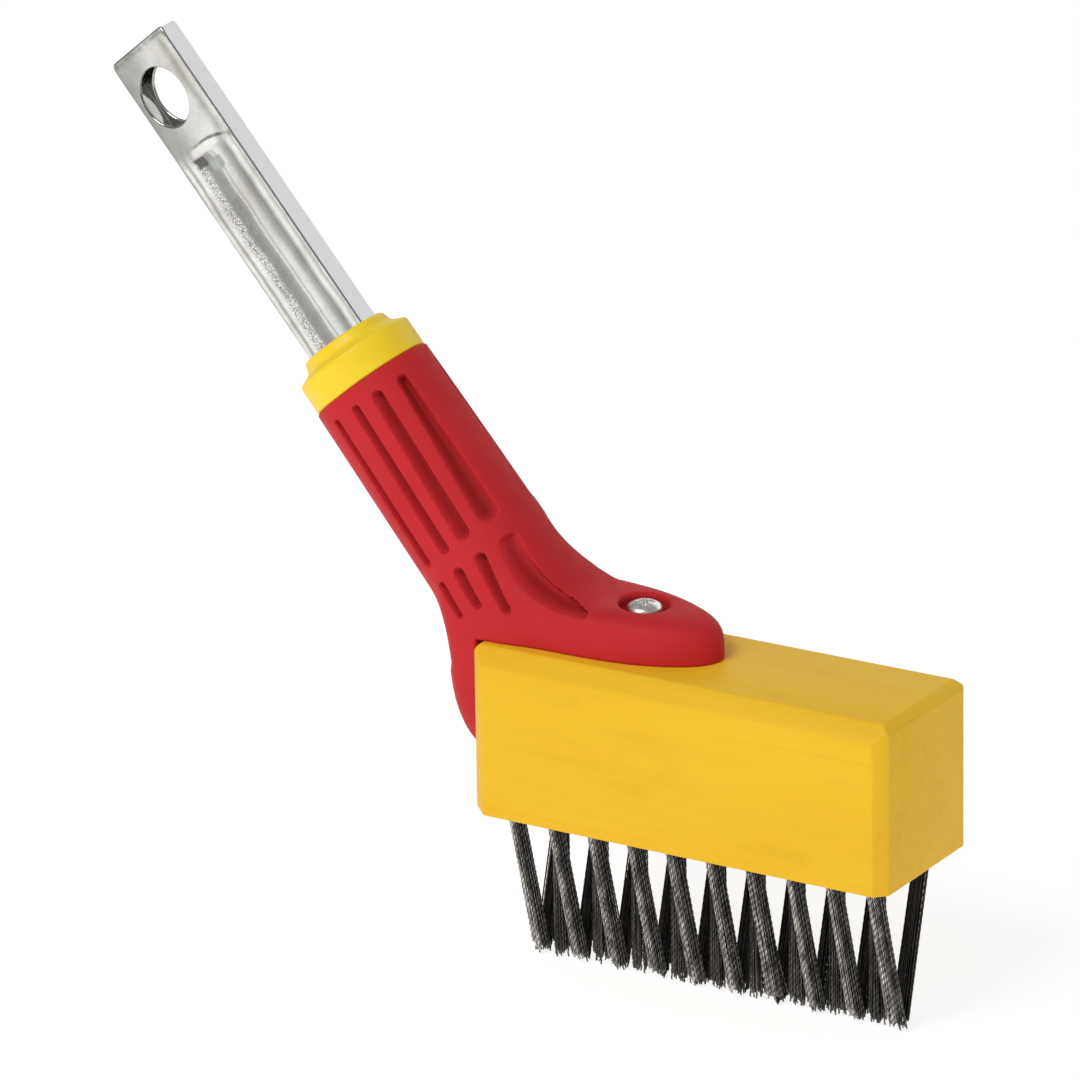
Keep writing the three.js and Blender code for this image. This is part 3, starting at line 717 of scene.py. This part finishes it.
# the middle and rear rows are crimped less, so that no light shows along their edges
CRIMP_SHARE = {"front": 1.0, "middle": 0.8, "rear": 0.4}
CRIMP_SHIFT = 1.5  # how far the waves run ahead across the tuft, in radians per mm
CRIMP_TURN, TURN_SPREAD = 0.55, 0.3  # angle of the plane the waves lie in, from X towards Y
PHASE_SPREAD, OUTER_CALM = 0.25, 0.6  # the outermost wires wave less
HOLE_DEPTH = 12.0
TIP_RANGE = (1.4, 4.4)  # height of most wire tips
LONG_SHARE, LONG_RANGE = 0.2, (0.15, 1.8)  # the longer wires
UNEVEN, STRAY, FAN_POWER = 0.04, 0.9, 1.4
TUFT_SEED = 7


def tuft_rows():
    for row, count, side in (("front", OUTER_COUNT, -1), ("middle", MIDDLE_COUNT, 0),
                             ("rear", OUTER_COUNT, 1)):
        for i in range(count):
            x = BLOCK_X + (i - (count - 1) / 2) * TUFT_PITCH
            yield {"name": f"{row}_tuft_{i + 1:02d}", "row": row, "x": x,
                   "root_y": side * OUTER_OFFSET, "tip_y": side * TIP_OFFSET}


def tuft_centre(tuft, z):
    share = z / UNDERSIDE
    return np.array([tuft["x"], tuft["tip_y"] + share * (tuft["root_y"] - tuft["tip_y"]), z])


def bundle_places(rng):
    """Places of the wires across a bundle of radius 1, evenly packed but a little uneven."""
    order = np.arange(WIRES) + 0.5
    turn = order * math.pi * (3 - math.sqrt(5))
    spread = np.sqrt(order / WIRES)
    unit = np.stack([np.cos(turn), np.sin(turn)], 1) * spread[:, None]
    return unit + rng.normal(0, UNEVEN, unit.shape)


def tip_heights(rng):
    """Heights of the wires' tips; a few wires are longer than the rest."""
    heights = rng.uniform(*TIP_RANGE, WIRES)
    is_long = rng.random(WIRES) < LONG_SHARE
    return np.where(is_long, rng.uniform(*LONG_RANGE, WIRES), heights)


def crimp_waves(share, unit, half_x, z, rng):
    """How far the crimp moves each point of each wire along X and Y."""
    phase = 2 * math.pi * (UNDERSIDE - z) / CRIMP_PITCH + CRIMP_SHIFT * unit[:, :1] * half_x
    phase = phase + rng.normal(0, PHASE_SPREAD, (WIRES, 1))
    tilt = rng.normal(CRIMP_TURN, TURN_SPREAD, (WIRES, 1))
    calm = np.clip((unit ** 2).sum(1, keepdims=True), 0, 1) ** 2
    wave = share * CRIMP_DEPTH * (1 - OUTER_CALM * calm) * np.sin(phase)
    return wave * np.cos(tilt), wave * np.sin(tilt)


def wire_paths(tuft, rng):
    """Centre lines of a tuft's crimped wires, from inside the hole down to their ragged tips."""
    unit = bundle_places(rng)
    tip_z = tip_heights(rng)
    t = np.linspace(0, 1, WIRE_SEGMENTS + 1)
    z = (UNDERSIDE + HOLE_DEPTH) + t[None, :] * (tip_z[:, None] - UNDERSIDE - HOLE_DEPTH)
    down = np.clip((UNDERSIDE - z) / UNDERSIDE, 0, 1)
    centre_y = tuft["tip_y"] + z / UNDERSIDE * (tuft["root_y"] - tuft["tip_y"])
    root = TUFT_RADIUS - WIRE_RADIUS
    half_x = root + (TIP_HALF_X - root) * down ** FAN_POWER
    half_y = root + (TIP_HALF_Y - root) * down
    stray = rng.normal(0, 1.0, (WIRES, 2)) * (rng.random((WIRES, 1)) ** 4) * STRAY
    x = tuft["x"] + unit[:, :1] * half_x + stray[:, :1] * down ** 3
    y = centre_y + unit[:, 1:] * half_y + stray[:, 1:] * down ** 3
    wave_x, wave_y = crimp_waves(CRIMP_SHARE[tuft["row"]], unit, half_x, z, rng)
    return np.stack([x + wave_x, y + wave_y, z], -1)


def wire_skins(paths):
    """Closed round wires along the paths, as one set of vertices and faces."""
    step = np.gradient(paths, axis=1)
    step /= np.linalg.norm(step, axis=-1, keepdims=True)
    side = np.cross(step, (0.0, 1.0, 0.0))
    side /= np.linalg.norm(side, axis=-1, keepdims=True)
    other = np.cross(step, side)
    angle = 2 * math.pi * np.arange(WIRE_SIDES) / WIRE_SIDES
    ring = (side[:, :, None] * np.cos(angle)[:, None] + other[:, :, None] * np.sin(angle)[:, None])
    skin = paths[:, :, None] + WIRE_RADIUS * ring
    count, rings = paths.shape[:2]
    index = np.arange(count * rings * WIRE_SIDES).reshape(count, rings, WIRE_SIDES)
    after = np.roll(index, -1, axis=2)
    walls = np.stack([index[:, :-1], after[:, :-1], after[:, 1:], index[:, 1:]], -1)
    faces = walls.reshape(-1, 4).tolist()
    faces += index[:, 0, ::-1].tolist() + index[:, -1].tolist()
    return skin.reshape(-1, 3), faces


def make_tufts(tufts, materials):
    rng = np.random.default_rng(TUFT_SEED)
    for tuft in tufts:
        made = mesh_object(tuft["name"] + "_wires", *wire_skins(wire_paths(tuft, rng)))
        finish_piece(made, materials[tuft["row"]], "wire_steel", tuft["name"])


# ---- materials ----
NOISE_RANGE = (0.3, 0.7)


class Nodes:
    """A material's node tree, with short ways to add nodes and links."""

    def __init__(self, name):
        self.material = bpy.data.materials.new(name)
        self.material.use_nodes = True
        self.tree = self.material.node_tree
        self.shader = self.tree.nodes["Principled BSDF"]
        self.position = self.add("ShaderNodeTexCoord").outputs["Object"]

    def add(self, kind, **settings):
        node = self.tree.nodes.new(kind)
        for key, value in settings.items():
            setattr(node, key, value)
        return node

    def link(self, source, target):
        self.tree.links.new(source, target)

    def feed(self, socket, value):
        """Sets a socket to a number or a colour, or links it to another node's output."""
        if isinstance(value, (int, float)):
            socket.default_value = value
        elif isinstance(value, tuple):
            socket.default_value = (*value, 1)
        else:
            self.link(value, socket)

    def noise(self, scale, detail=4.0, roughness=0.5, stretch=(1, 1, 1), distortion=0.0):
        mapping = self.add("ShaderNodeMapping")
        mapping.inputs["Scale"].default_value = stretch
        self.link(self.position, mapping.inputs["Vector"])
        node = self.add("ShaderNodeTexNoise")
        self.link(mapping.outputs["Vector"], node.inputs["Vector"])
        for key, number in (("Scale", scale), ("Detail", detail), ("Roughness", roughness),
                            ("Distortion", distortion)):
            node.inputs[key].default_value = number
        return node.outputs["Fac"]

    def ramp(self, value, stops):
        node = self.add("ShaderNodeValToRGB")
        self.link(value, node.inputs["Fac"])
        ramp = node.color_ramp
        while len(ramp.elements) < len(stops):
            ramp.elements.new(0.5)
        for element, (position, colour) in zip(ramp.elements, stops):
            element.position = position
            element.color = (*colour, 1)
        return node.outputs["Color"]

    def span(self, value, low, high, to_low, to_high):
        node = self.add("ShaderNodeMapRange")
        self.link(value, node.inputs["Value"])
        for key, number in (("From Min", low), ("From Max", high),
                            ("To Min", to_low), ("To Max", to_high)):
            node.inputs[key].default_value = number
        return node.outputs["Result"]

    def varied(self, noise, low, high):
        """Runs from low to high over the range that most of a noise lies in."""
        return self.span(noise, *NOISE_RANGE, low, high)

    def maths(self, operation, *values):
        node = self.add("ShaderNodeMath", operation=operation)
        for socket, value in zip(node.inputs, values):
            self.feed(socket, value)
        return node.outputs[0]

    def mix(self, share, a, b, blend="MIX"):
        node = self.add("ShaderNodeMix", data_type="RGBA", blend_type=blend)
        for place, value in ((0, share), (6, a), (7, b)):
            self.feed(node.inputs[place], value)
        return node.outputs[2]

    def dot(self, vector, direction):
        node = self.add("ShaderNodeVectorMath", operation="DOT_PRODUCT")
        self.link(vector, node.inputs[0])
        node.inputs[1].default_value = tuple(float(part) for part in direction)
        return node.outputs["Value"]

    def bump(self, height, strength, distance, normal=None):
        node = self.add("ShaderNodeBump")
        node.inputs["Strength"].default_value = strength
        node.inputs["Distance"].default_value = distance
        self.link(height, node.inputs["Height"])
        if normal is not None:
            self.link(normal, node.inputs["Normal"])
        return node.outputs["Normal"]

    def finished(self, **values):
        """Sets the shader and gives back the material."""
        names = {"colour": "Base Color", "roughness": "Roughness", "metallic": "Metallic",
                 "normal": "Normal", "specular": "Specular IOR Level"}
        for key, value in values.items():
            self.feed(self.shader.inputs[names[key]], value)
        return self.material


def red_plastic():
    nodes = Nodes("moulded_red_plastic")
    cloud = nodes.noise(34, detail=3)
    colour = nodes.ramp(cloud, [(0.3, (0.545, 0.024, 0.027)), (0.7, (0.60, 0.030, 0.034))])
    # painted shade: flutes and screw bores darken towards a dark red, the more the deeper a point
    # lies in them
    recess = nodes.add("ShaderNodeAttribute", attribute_name="recess").outputs["Fac"]
    colour = nodes.mix(nodes.span(recess, 0.15, 1.0, 0.0, 0.75), colour, (0.24, 0.012, 0.010))
    grain = nodes.noise(2600, detail=2, roughness=0.6)
    flow = nodes.noise(120, detail=2, stretch=(1, 1, 0.35))
    roughness = nodes.varied(nodes.noise(210, detail=4), 0.46, 0.58)
    soft = nodes.bump(flow, 0.12, 0.0006)
    normal = nodes.bump(grain, 0.10, 0.00008, soft)
    return nodes.finished(colour=colour, roughness=roughness, normal=normal, specular=0.07)


def yellow_plastic():
    nodes = Nodes("moulded_yellow_plastic")
    cloud = nodes.noise(60, detail=3)
    colour = nodes.ramp(cloud, [(0.3, (0.96, 0.655, 0.022)), (0.7, (1.0, 0.715, 0.030))])
    grain = nodes.noise(2200, detail=2, roughness=0.6)
    roughness = nodes.varied(nodes.noise(240, detail=4), 0.34, 0.46)
    normal = nodes.bump(grain, 0.10, 0.00008)
    return nodes.finished(colour=colour, roughness=roughness, normal=normal, specular=0.3)


def painted_wood():
    nodes = Nodes("painted_wood")
    broad = nodes.noise(24, detail=4, stretch=(0.3, 1, 1))
    grain = nodes.noise(300, detail=6, roughness=0.6, stretch=(0.04, 1, 1), distortion=0.3)
    dapple = nodes.noise(90, detail=3, stretch=(0.4, 1, 1))
    colour = nodes.ramp(broad, [(0.25, (0.875, 0.49, 0.020)), (0.75, (0.935, 0.57, 0.030))])
    streak = nodes.ramp(grain, [(0.32, (0.84, 0.79, 0.66)), (0.50, (1.0, 1.0, 1.0))])
    colour = nodes.mix(0.22, colour, streak, "MULTIPLY")
    smudge = nodes.ramp(dapple, [(0.58, (1.0, 1.0, 1.0)), (0.75, (0.88, 0.84, 0.70))])
    colour = nodes.mix(0.45, colour, smudge, "MULTIPLY")
    height = nodes.bump(grain, 0.16, 0.0003, nodes.bump(broad, 0.10, 0.0010))
    roughness = nodes.varied(grain, 0.52, 0.42)
    return nodes.finished(colour=colour, roughness=roughness, normal=height, specular=0.11)


# brightness of the plating across the grooved face, as painted reflection and shade, bright on ridges
# and dark in hollows:
# [mm from the middle of the face, share of full brightness]
GROOVE_REFLECTION_TONES = ((-12.6, 0.36), (-12.0, 0.52), (-11.3, 0.98), (-10.5, 0.96), (-9.7, 0.46),
                 (-9.1, 0.66), (-8.5, 1.0), (-7.2, 0.92), (-6.3, 0.40), (-5.4, 0.52), (-4.0, 0.34),
                 (-2.2, 0.36), (-1.0, 0.46), (-0.5, 0.80), (0.5, 0.62), (1.3, 0.92), (3.3, 0.80),
                 (5.2, 0.50), (7.7, 0.34), (8.6, 0.62), (9.4, 0.98), (10.2, 0.96), (11.3, 0.60),
                 (12.2, 0.92))
# the same across the face near the tip, where there is no groove, also painted reflection and shade
PLAIN_REFLECTION_TONES = ((-12.6, 0.42), (-10.5, 0.50), (-5.0, 0.56), (1.0, 0.82), (7.0, 0.88), (9.5, 0.55),
               (11.4, 0.90))
FLECKED = (-7.0, -5.2)  # strip along the groove's wall where the plating looks speckled
# spots of painted shade at the groove's end: [from, to] from the tip and across, colour
SHADE_SPOTS = (((40.6, 43.2), (-6.4, -3.6), (0.17, 0.165, 0.16)),
           ((43.6, 46.6), (-2.6, 1.6), (0.46, 0.49, 0.47)))
HIGHLIGHT_LENGTHWISE, HIGHLIGHT_SIDEWAYS = (37.6, 39.8), (-4.5, 5.0)  # painted highlight on the ridge past that end
GROOVED_FROM, GROOVED_FULL = 36.0, 43.0  # from the tip: the groove's tones fade in
FACE_FROM, FACE_TO = -1.6, -1.1  # across the thickness: the face's tones end here
EDGE_BAND = (0.6, 0.2)  # how far below the tang's upper edge its even tone starts and is full


def tone_across(nodes, across, tones):
    half = TANG_WIDTH / 2
    share = nodes.span(across, -half * MM, half * MM, 0.0, 1.0)
    return nodes.ramp(share, [((place + half) / (2 * half), (tone, tone, tone * 0.98))
                              for place, tone in tones])


def between(nodes, value, low, high, soft):
    """1 where a length lies between two others in mm, fading out over soft mm on both sides."""
    rising = nodes.span(value, (low - soft) * MM, low * MM, 0.0, 1.0)
    falling = nodes.span(value, high * MM, (high + soft) * MM, 1.0, 0.0)
    return nodes.maths("MULTIPLY", rising, falling)


def wandering(nodes, value, scale, reach):
    """A length that wanders by up to a reach in mm."""
    noise = nodes.noise(scale, detail=3)
    return nodes.maths("ADD", value, nodes.varied(noise, -reach * MM, reach * MM))


def face_tone(nodes, height, from_tip):
    """Brightness over the grooved face: bands of painted reflection and shade, speckles, spots of
    painted shade and a painted highlight on a ridge.
    """
    across = wandering(nodes, height, 55, 0.5)
    ragged = wandering(nodes, from_tip, 300, 0.7)
    grooved = nodes.span(from_tip, GROOVED_FROM * MM, GROOVED_FULL * MM, 0.0, 1.0)
    # bands of painted reflection and shade across the face, with and without the groove
    tone = nodes.mix(grooved, tone_across(nodes, across, PLAIN_REFLECTION_TONES),
                     tone_across(nodes, across, GROOVE_REFLECTION_TONES))
    flecks = nodes.span(nodes.noise(1900, detail=2, roughness=0.6), 0.40, 0.58, 0.22, 1.0)
    flecked = nodes.maths("MULTIPLY", grooved, between(nodes, across, *FLECKED, 0.8))
    tone = nodes.mix(nodes.maths("MULTIPLY", flecked, 0.75), tone, flecks)
    # painted shade: dark spots where the groove ends
    for lengthwise, sideways, colour in SHADE_SPOTS:
        shade_spot = nodes.maths("MULTIPLY", between(nodes, ragged, *lengthwise, 0.7),
                           between(nodes, across, *sideways, 0.7))
        tone = nodes.mix(shade_spot, tone, colour)
    # painted highlight: the ridge past the groove's end is made near white
    ridge_highlight = nodes.maths("MULTIPLY", between(nodes, from_tip, *HIGHLIGHT_LENGTHWISE, 0.8),
                        between(nodes, across, *HIGHLIGHT_SIDEWAYS, 2.0))
    return nodes.mix(ridge_highlight, tone, (1.0, 1.0, 0.98))


def zinc_plate():
    nodes = Nodes("bright_zinc_plate")
    cloud = nodes.noise(70, detail=4, roughness=0.6)
    spangle = nodes.noise(520, detail=5, roughness=0.7, distortion=0.8)
    drawn = nodes.noise(1100, detail=3, stretch=(1, 1, 0.2))
    height = nodes.maths("SUBTRACT", nodes.dot(nodes.position, NORMAL),
                         float(AXIS_FOOT @ NORMAL) * MM)
    from_tip = nodes.maths("SUBTRACT", float(AXIS_FOOT @ AXIS + TANG_TIP) * MM,
                           nodes.dot(nodes.position, AXIS))
    bright = nodes.ramp(cloud, [(0.30, (0.66, 0.645, 0.60)), (0.62, (0.90, 0.89, 0.87))])
    speck = nodes.ramp(spangle, [(0.36, (0.80, 0.81, 0.81)), (0.56, (1.0, 1.0, 1.0))])
    bright = nodes.mix(0.5, bright, speck, "MULTIPLY")
    face = nodes.mix(1.0, bright, face_tone(nodes, height, from_tip), "MULTIPLY")
    plain = nodes.mix(0.35, bright, (0.0, 0.0, 0.0))
    on_face = nodes.span(nodes.dot(nodes.position, SIDE), FACE_FROM * MM, FACE_TO * MM, 1.0, 0.0)
    colour = nodes.mix(on_face, plain, face)
    low, high = ((TANG_WIDTH / 2 - below) * MM for below in EDGE_BAND)
    colour = nodes.mix(nodes.span(height, low, high, 0.0, 1.0), colour, (0.58, 0.572, 0.578))
    roughness = nodes.varied(spangle, 0.10, 0.22)
    dents = nodes.bump(nodes.noise(120, detail=3), 0.35, 0.0008)
    return nodes.finished(colour=colour, roughness=roughness, metallic=1.0,
                          normal=nodes.bump(drawn, 0.10, 0.0001, dents))


def screw_steel():
    nodes = Nodes("zinc_screw_steel")
    speck = nodes.noise(700, detail=3)
    colour = nodes.ramp(speck, [(0.3, (0.74, 0.72, 0.69)), (0.7, (0.90, 0.89, 0.87))])
    roughness = nodes.varied(speck, 0.26, 0.38)
    return nodes.finished(colour=colour, roughness=roughness, metallic=1.0,
                          normal=nodes.bump(speck, 0.08, 0.00004))


GLINT_SHIFT = 3.6  # how far the painted glints along the crimp run ahead across a tuft, in radians per mm
# for each row: dark and light colour, darker for the rows further back as painted shade; painted
# shade on the far side of each bundle; dullness; and how bright the painted glints along the crimp
# are
WIRE_SHADES_AND_FINISHES = {
    "front": ((0.13, 0.122, 0.112), (0.68, 0.65, 0.60), 0.25, 0.16, 0.36),
    "middle": ((0.05, 0.046, 0.043), (0.18, 0.17, 0.16), 0.9, 0.26, 0.2),
    "rear": ((0.03, 0.027, 0.026), (0.08, 0.075, 0.07), 1.0, 0.5, 0.0),
}


def drawn_wire(name, dark, light, shade, dull, crests):
    """Dark wire with brighter lengths and painted glints along the crimp; painted shade darkens the
    side of each bundle towards the free end.
    """
    nodes = Nodes(name)
    tarnish = nodes.noise(420, detail=4, roughness=0.7, stretch=(1, 1, 0.3))
    colour = nodes.ramp(tarnish, [(0.38, dark), (0.68, light)])
    across = nodes.add("ShaderNodeSeparateXYZ")
    nodes.link(nodes.add("ShaderNodeTexCoord").outputs["Generated"], across.inputs[0])
    # painted shade: the side of each bundle towards the free end is darkened
    shaded = nodes.span(across.outputs["X"], 0.50, 0.66, 1.0, shade)
    colour = nodes.mix(1.0, colour, shaded, "MULTIPLY")
    # painted glints: brighter and darker bands that follow the crimp along each wire, standing in for
    # highlights
    lift = nodes.dot(nodes.position, (0, 0, 1))
    phase = nodes.span(lift, 0.0, UNDERSIDE * MM, 2 * math.pi * UNDERSIDE / CRIMP_PITCH, 0.0)
    tuft_width = 2 * TIP_HALF_X + 0.5
    phase = nodes.maths("ADD", phase, nodes.maths("MULTIPLY", across.outputs["X"],
                                                  GLINT_SHIFT * tuft_width))
    slope = nodes.maths("COSINE", phase)
    painted_glints = nodes.span(slope, -0.3, 0.8, 1 - crests, 1 + crests)
    colour = nodes.mix(1.0, colour, painted_glints, "MULTIPLY")
    roughness = nodes.varied(nodes.noise(1800, detail=2), dull, dull + 0.12)
    return nodes.finished(colour=colour, roughness=roughness, metallic=0.9,
                          normal=nodes.bump(nodes.noise(5200, detail=2), 0.2, 0.00003))


# ---- stage, lights, camera ----
def make_stage():
    size, height = 4000.0, -0.2
    floor = mesh_object("floor", [(-size, -size, height), (size, -size, height),
                                  (size, size, height), (-size, size, height)], [(0, 1, 2, 3)])
    nodes = Nodes("pale_floor")
    nodes.finished(colour=(0.35, 0.35, 0.35), roughness=0.95, specular=0.0)
    nodes.shader.inputs["Emission Color"].default_value = (1, 1, 1, 1)
    nodes.shader.inputs["Emission Strength"].default_value = 0.8
    floor.data.materials.append(nodes.material)


def aim(made, target):
    direction = np.array(target) - np.array(made.location)
    horizontal = math.hypot(direction[0], direction[1])
    made.rotation_euler = (math.atan2(horizontal, -direction[2]), 0,
                           math.atan2(-direction[0], direction[1]))


def area_light(name, place, target, size, power):
    data = bpy.data.lights.new(name, "AREA")
    data.shape = "RECTANGLE"
    data.size, data.size_y = size
    data.energy = power
    light = linked(name, data)
    light.location = place
    light.visible_camera = False
    aim(light, target)


def make_lights():
    middle = (0.0, 0.0, 0.14)
    area_light("key", (-0.33, -2.15, 2.6), middle, (1.5, 1.5), 54)
    area_light("back_card", (0.0, 3.0, 1.5), middle, (5.0, 2.0), 27)
    area_light("low_card", (0.1, -2.2, 0.42), (-0.1, 0.0, 0.25), (1.5, 0.7), 3.0)
    world = bpy.data.worlds.new("studio")
    world.use_nodes = True
    backdrop = world.node_tree.nodes["Background"].inputs
    backdrop["Color"].default_value = (1, 1, 1, 1)
    backdrop["Strength"].default_value = 0.3
    bpy.context.scene.world = world
    bpy.context.scene.view_settings.view_transform = "Standard"


CAMERA_ANGLES = (31.775, 19.925, -0.995)  # azimuth, elevation and roll in degrees
CAMERA_DISTANCE = 2696.0
CAMERA_RIGHT, CAMERA_UP = -55.4, 89.8  # where it points, beside and above the block's underside
CAMERA_LENS, SENSOR = 287.5, 36.0


def make_camera():
    azimuth, elevation, roll = map(math.radians, CAMERA_ANGLES)
    back = np.array([math.sin(azimuth) * math.cos(elevation),
                     -math.cos(azimuth) * math.cos(elevation), math.sin(elevation)])
    level = np.array([math.cos(azimuth), math.sin(azimuth), 0.0])
    upright = np.cross(back, level)
    right = math.cos(roll) * level + math.sin(roll) * upright
    up = -math.sin(roll) * level + math.cos(roll) * upright
    data = bpy.data.cameras.new("camera")
    data.lens, data.sensor_width = CAMERA_LENS, SENSOR
    data.clip_end = 20.0
    camera = linked("camera", data)
    place = (np.array([BLOCK_X, 0.0, UNDERSIDE]) + CAMERA_RIGHT * right + CAMERA_UP * up
             + CAMERA_DISTANCE * back) * MM
    matrix = np.eye(4)
    matrix[:3] = np.stack([right, up, back, place], 1)
    camera.matrix_world = mathutils.Matrix(matrix.tolist())
    bpy.context.scene.camera = camera


make_camera()
make_stage()
make_lights()
tufts = list(tuft_rows())
make_block(tufts, painted_wood())
# one copy of the same wire per row, its colours darker for the rows further back as painted shade
make_tufts(tufts, {row: drawn_wire(row + "_wire", *shade_and_finish)
                   for row, shade_and_finish in WIRE_SHADES_AND_FINISHES.items()})
make_socket(red_plastic())
make_collar(yellow_plastic())
make_tang(zinc_plate())
make_screws(screw_steel())
